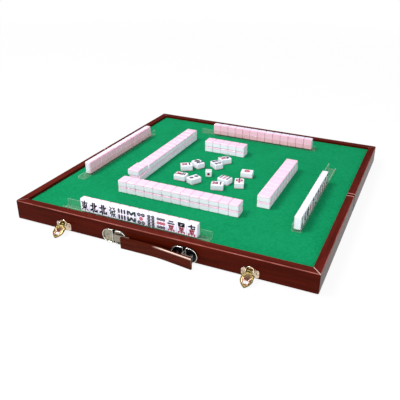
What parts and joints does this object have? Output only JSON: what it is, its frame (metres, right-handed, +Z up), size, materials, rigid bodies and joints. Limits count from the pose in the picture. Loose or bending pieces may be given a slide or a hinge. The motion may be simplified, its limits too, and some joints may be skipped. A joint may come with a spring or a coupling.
{
  "type": "mahjong case",
  "caption": "Folding wooden mahjong case opened flat as a square felt-topped play table, with latches, a strap handle, racks of tiles, walls of tiles and a die.",
  "frame": {"origin": "centre of the footprint, on the surface that the opened case stands on", "axes": "+X to the right along the fold, +Y from the latched front to the rear, +Z up"},
  "size_m": [0.45, 0.4772, 0.0483],
  "materials": {
    "lacquered_wood": "gloss lacquer",
    "plywood": "plain",
    "green_felt": "felt",
    "brass": "satin",
    "gold_plate": "polished plate",
    "nickel_plate": "polished plate",
    "screw_steel": "plain",
    "strap_leather": "smooth",
    "clear_acrylic": "clear",
    "tile_resin": "polished, with a pink back",
    "die_resin": "polished"
  },
  "bodies": {
    "front_half": {"front_half_front_rail": "lacquered_wood", "front_half_left_rail": "lacquered_wood", "front_half_right_rail": "lacquered_wood", "front_half_spine_rail": "lacquered_wood", "front_half_board": "plywood", "front_half_felt": "green_felt", "hinge_front_leaves": "brass", "hinge_front_screws": "screw_steel", "hinge_pins": "brass", "latch_left_base": "gold_plate", "latch_right_base": "gold_plate", "latch_pins": "gold_plate", "latch_screws": "gold_plate", "handle_left_cap": "nickel_plate", "handle_right_cap": "nickel_plate", "handle_cap_screws": "screw_steel"},
    "rear_half": {"rear_half_rear_rail": "lacquered_wood", "rear_half_left_rail": "lacquered_wood", "rear_half_right_rail": "lacquered_wood", "rear_half_spine_rail": "lacquered_wood", "rear_half_board": "plywood", "rear_half_felt": "green_felt", "hinge_rear_leaves": "brass", "hinge_rear_screws": "screw_steel", "catch_left": "gold_plate", "catch_right": "gold_plate", "catch_screws": "gold_plate"},
    "left_hasp": {"latch_left_hasp": "gold_plate"},
    "right_hasp": {"latch_right_hasp": "gold_plate"},
    "handle": {"handle_strap": "strap_leather", "handle_left_tongue": "strap_leather", "handle_right_tongue": "strap_leather"},
    "front_rack": {"rack_front": "clear_acrylic", "rack_front_tiles": "tile_resin"},
    "right_rack": {"rack_right": "clear_acrylic", "rack_right_tiles": "tile_resin"},
    "left_rack": {"rack_left": "clear_acrylic", "rack_left_tiles": "tile_resin"},
    "rear_rack": {"rack_rear": "clear_acrylic", "rack_rear_tiles": "tile_resin"},
    "front_wall": {"wall_front_tiles": "tile_resin"},
    "left_front_wall": {"wall_left_front_tiles": "tile_resin"},
    "right_front_wall": {"wall_right_front_tiles": "tile_resin"},
    "left_rear_wall": {"wall_left_rear_tiles": "tile_resin"},
    "right_rear_wall": {"wall_right_rear_tiles": "tile_resin"},
    "rear_wall": {"wall_rear_tiles": "tile_resin"},
    "loose_front": {"loose_front_tiles": "tile_resin"},
    "loose_rear": {"loose_rear_tiles": "tile_resin"},
    "die_body": {"die": "die_resin"}
  },
  "joints": [
    {"name": "case_fold", "type": "hinge", "parent": "front_half", "child": "rear_half", "pos_m": [0, 0.00968, 0.0016], "axis": [-1, 0, 0], "range_deg": [0, 180]},
    {"name": "left_hasp_swing", "type": "hinge", "parent": "front_half", "child": "left_hasp", "pos_m": [-0.142, -0.21832, 0.01275], "axis": [-1, 0, 0], "range_deg": [-59.5, 76]},
    {"name": "right_hasp_swing", "type": "hinge", "parent": "front_half", "child": "right_hasp", "pos_m": [0.138, -0.21832, 0.01275], "axis": [-1, 0, 0], "range_deg": [-59.5, 76]},
    {"name": "handle_pull", "type": "slide", "parent": "front_half", "child": "handle", "axis": [0, -1, 0], "range_m": [0, 0.008]},
    {"name": "front_rack_lift", "type": "slide", "parent": "front_half", "child": "front_rack", "axis": [0, 0, 1], "range_m": [0, 0.06]},
    {"name": "right_rack_lift", "type": "slide", "parent": "front_half", "child": "right_rack", "axis": [0, 0, 1], "range_m": [0, 0.06]},
    {"name": "left_rack_lift", "type": "slide", "parent": "front_half", "child": "left_rack", "axis": [0, 0, 1], "range_m": [0, 0.06]},
    {"name": "front_wall_lift", "type": "slide", "parent": "front_half", "child": "front_wall", "axis": [0, 0, 1], "range_m": [0, 0.06]},
    {"name": "left_front_wall_lift", "type": "slide", "parent": "front_half", "child": "left_front_wall", "axis": [0, 0, 1], "range_m": [0, 0.06]},
    {"name": "right_front_wall_lift", "type": "slide", "parent": "front_half", "child": "right_front_wall", "axis": [0, 0, 1], "range_m": [0, 0.06]},
    {"name": "loose_front_lift", "type": "slide", "parent": "front_half", "child": "loose_front", "axis": [0, 0, 1], "range_m": [0, 0.06]},
    {"name": "die_lift", "type": "slide", "parent": "front_half", "child": "die_body", "axis": [0, 0, 1], "range_m": [0, 0.06]},
    {"name": "rear_rack_lift", "type": "slide", "parent": "rear_half", "child": "rear_rack", "axis": [0, 0, 1], "range_m": [0, 0.06]},
    {"name": "left_rear_wall_lift", "type": "slide", "parent": "rear_half", "child": "left_rear_wall", "axis": [0, 0, 1], "range_m": [0, 0.06]},
    {"name": "right_rear_wall_lift", "type": "slide", "parent": "rear_half", "child": "right_rear_wall", "axis": [0, 0, 1], "range_m": [0, 0.06]},
    {"name": "rear_wall_lift", "type": "slide", "parent": "rear_half", "child": "rear_wall", "axis": [0, 0, 1], "range_m": [0, 0.06]},
    {"name": "loose_rear_lift", "type": "slide", "parent": "rear_half", "child": "loose_rear", "axis": [0, 0, 1], "range_m": [0, 0.06]}
  ]
}
